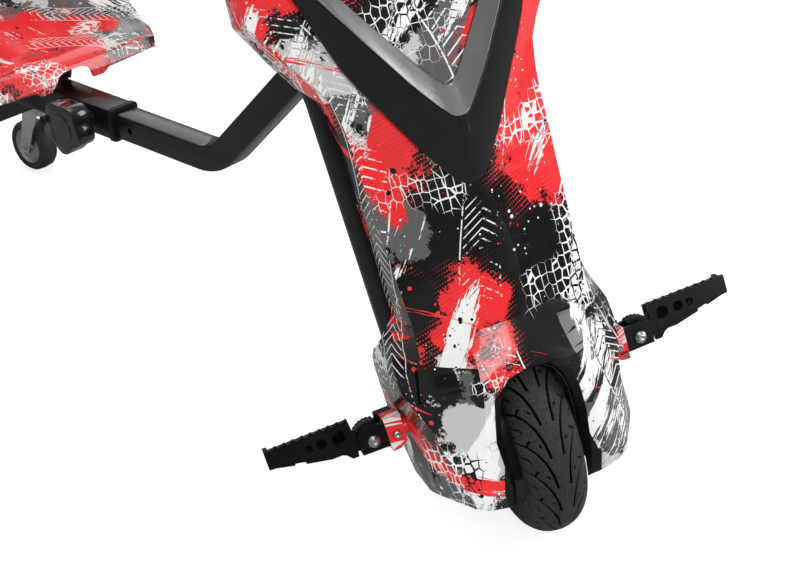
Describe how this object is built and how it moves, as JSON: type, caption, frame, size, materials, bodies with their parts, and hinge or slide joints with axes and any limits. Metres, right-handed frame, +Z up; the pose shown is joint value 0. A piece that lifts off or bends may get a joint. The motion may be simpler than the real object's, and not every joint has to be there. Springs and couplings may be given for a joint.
{
  "type": "electric drift scooter",
  "caption": "Drift scooter with a steered hub-motor front wheel in a moulded fairing, folding foot pegs, telescoping square frame, bucket seat and rear swivel casters.",
  "frame": {"origin": "middle of the bounding box, on the floor", "axes": "+Z up, -Y the way the scooter faces, +X the rider's left"},
  "size_m": [0.516, 1.2663, 0.6863],
  "materials": {
    "bare_alloy": "satin",
    "black_coated_steel": "satin powder coat",
    "black_plastic": "satin",
    "caster_tread": "satin",
    "grip_rubber": "matt",
    "printed_plastic": "gloss",
    "satin_black_plastic": "satin",
    "screen_glass": "gloss",
    "silver_trim": "metallised",
    "tyre_rubber": "matt",
    "zinc_steel": "zinc plated"
  },
  "bodies": {
    "frame": {"frame_tube": "black_coated_steel", "head_tube": "black_coated_steel", "bearing_cup_lower": "zinc_steel", "bearing_cup_upper": "zinc_steel"},
    "steering": {"axle_nut_left": "zinc_steel", "axle_nut_right": "zinc_steel", "back_cover": "black_plastic", "battery_pack": "black_plastic", "brake_perch": "black_plastic", "centre_panel": "printed_plastic", "display_unit": "screen_glass", "fork_crown": "black_coated_steel", "fork_leg_left": "black_coated_steel", "fork_leg_right": "black_coated_steel", "front_axle": "zinc_steel", "front_cover": "printed_plastic", "grip_left": "grip_rubber", "grip_right": "grip_rubber", "handlebar": "black_coated_steel", "headset_nut": "zinc_steel", "motor_controller": "bare_alloy", "peg_bolt_left": "zinc_steel", "peg_bolt_right": "zinc_steel", "peg_bracket_left": "printed_plastic", "peg_bracket_right": "printed_plastic", "peg_clevis_left": "black_coated_steel", "peg_clevis_right": "black_coated_steel", "silver_band": "silver_trim", "steerer": "zinc_steel", "stem_clamp": "bare_alloy", "throttle_housing": "black_plastic", "v_trim": "satin_black_plastic", "wheel_liner": "satin_black_plastic"},
    "rear_carriage": {"seat_sleeve": "black_coated_steel", "sleeve_collar": "black_plastic", "knob_boss": "black_coated_steel", "rear_arm": "black_coated_steel", "rear_beam": "black_coated_steel", "caster_housing_left": "zinc_steel", "caster_housing_right": "zinc_steel", "seat_bracket_front": "black_coated_steel", "seat_bracket_rear": "black_coated_steel", "seat_shell": "printed_plastic"},
    "clamp": {"clamp_knob": "black_plastic", "knob_screw": "zinc_steel"},
    "caster_left": {"caster_fork_left": "zinc_steel"},
    "caster_right": {"caster_fork_right": "zinc_steel"},
    "caster_wheel_left": {"caster_hub_left": "bare_alloy", "caster_tread_left": "caster_tread"},
    "caster_wheel_right": {"caster_hub_right": "bare_alloy", "caster_tread_right": "caster_tread"},
    "front_wheel": {"front_tyre": "tyre_rubber", "hub_motor": "bare_alloy"},
    "folding_peg_left": {"peg_left": "black_coated_steel"},
    "folding_peg_right": {"peg_right": "black_coated_steel"},
    "throttle": {"throttle_paddle": "black_plastic"},
    "brake": {"brake_lever": "black_coated_steel"},
    "power_key": {"power_button": "black_plastic"},
    "mode_key": {"mode_button": "black_plastic"}
  },
  "joints": [
    {"name": "steering", "type": "hinge", "parent": "frame", "child": "steering", "pos_m": [0, -0.508, 0.1247], "axis": [0, 0.3778, 0.9259], "range_deg": [-15.7, 84.3]},
    {"name": "length_adjust", "type": "slide", "parent": "frame", "child": "rear_carriage", "axis": [0, 1, 0], "range_m": [-0.075, 0.05]},
    {"name": "clamp_turn", "type": "hinge", "parent": "rear_carriage", "child": "clamp", "pos_m": [-0.01975, 0.122, 0.30185], "axis": [1, 0, 0], "continuous": true},
    {"name": "caster_swivel_left", "type": "hinge", "parent": "rear_carriage", "child": "caster_left", "pos_m": [0.232, 0.564, 0], "axis": [0, 0, 1], "continuous": true},
    {"name": "caster_roll_left", "type": "hinge", "parent": "caster_left", "child": "caster_wheel_left", "pos_m": [0.232, 0.591, 0.042], "axis": [1, 0, 0], "continuous": true},
    {"name": "caster_swivel_right", "type": "hinge", "parent": "rear_carriage", "child": "caster_right", "pos_m": [-0.232, 0.564, 0], "axis": [0, 0, 1], "continuous": true},
    {"name": "caster_roll_right", "type": "hinge", "parent": "caster_right", "child": "caster_wheel_right", "pos_m": [-0.232, 0.591, 0.042], "axis": [1, 0, 0], "continuous": true},
    {"name": "front_wheel_roll", "type": "hinge", "parent": "steering", "child": "front_wheel", "pos_m": [0, -0.508, 0.1247], "axis": [0.8261, -0.5218, 0.2129], "continuous": true},
    {"name": "peg_fold_left", "type": "hinge", "parent": "steering", "child": "folding_peg_left", "pos_m": [0.12639, -0.57404, 0.19107], "axis": [-0.5635, -0.7649, 0.3121], "range_deg": [0, 88]},
    {"name": "peg_fold_right", "type": "hinge", "parent": "steering", "child": "folding_peg_right", "pos_m": [-0.12639, -0.41438, 0.12592], "axis": [0.5635, 0.7649, -0.3121], "range_deg": [0, 88]},
    {"name": "throttle_press", "type": "hinge", "parent": "steering", "child": "throttle", "pos_m": [-0.0876, -0.21275, 0.59393], "axis": [-0.8261, 0.5218, -0.2129], "range_deg": [0, 35], "stiffness_Nm_per_rad": 0.2, "springref_deg": -17.19},
    {"name": "brake_squeeze", "type": "hinge", "parent": "steering", "child": "brake", "pos_m": [0.08809, -0.35958, 0.65385], "axis": [0, 0.3778, 0.9259], "range_deg": [0, 9], "stiffness_Nm_per_rad": 1, "springref_deg": -11.46},
    {"name": "power_press", "type": "slide", "parent": "steering", "child": "power_key", "axis": [0, -0.3778, -0.9259], "range_m": [0, 0.0012], "stiffness_N_per_m": 400, "springref_m": -0.001},
    {"name": "mode_press", "type": "slide", "parent": "steering", "child": "mode_key", "axis": [0, -0.3778, -0.9259], "range_m": [0, 0.0012], "stiffness_N_per_m": 400, "springref_m": -0.001}
  ]
}
